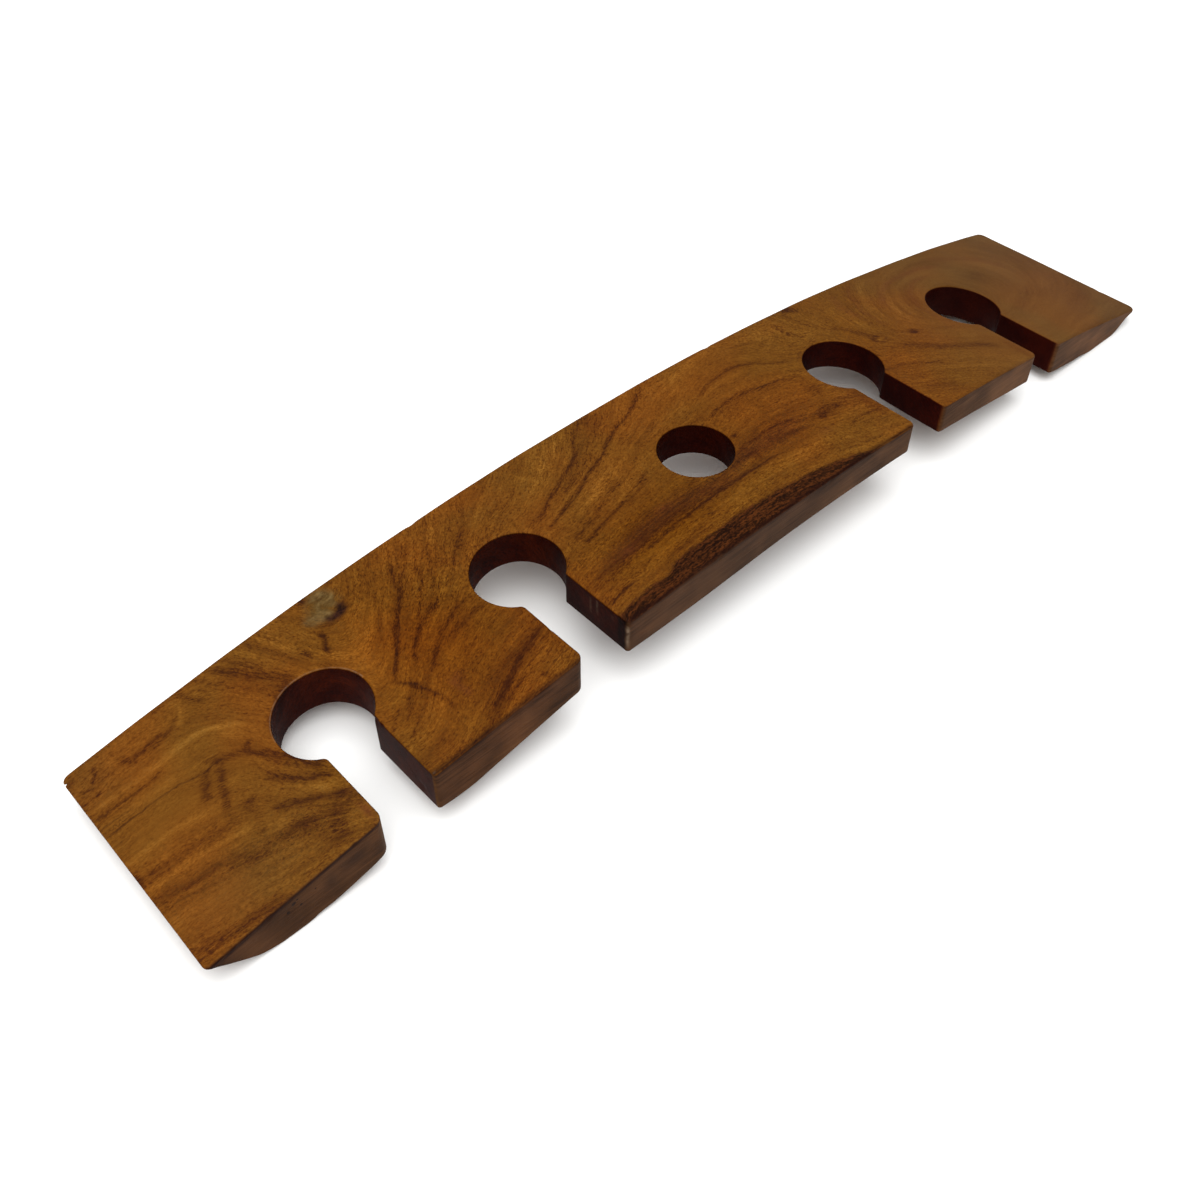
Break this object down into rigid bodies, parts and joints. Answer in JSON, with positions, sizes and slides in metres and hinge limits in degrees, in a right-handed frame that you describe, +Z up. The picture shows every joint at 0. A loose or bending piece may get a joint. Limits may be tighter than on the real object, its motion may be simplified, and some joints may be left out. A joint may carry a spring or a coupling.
{
  "type": "bottle-neck stemmed glass holder board",
  "caption": "Bowed one-piece wooden board with keyhole slots that hang stemmed glasses and a round centre hole that drops over a bottle neck.",
  "frame": {"origin": "middle of the board's length and width, on the plane the two ends rest on", "axes": "+Z up, parallel to the centre hole, +X along the board towards its slightly longer end, slot mouths open towards -Y"},
  "size_m": [0.586, 0.105, 0.0451],
  "materials": {
    "wood": "satin oiled"
  },
  "bodies": {
    "root": {"holder_board": "wood"}
  },
  "joints": []
}
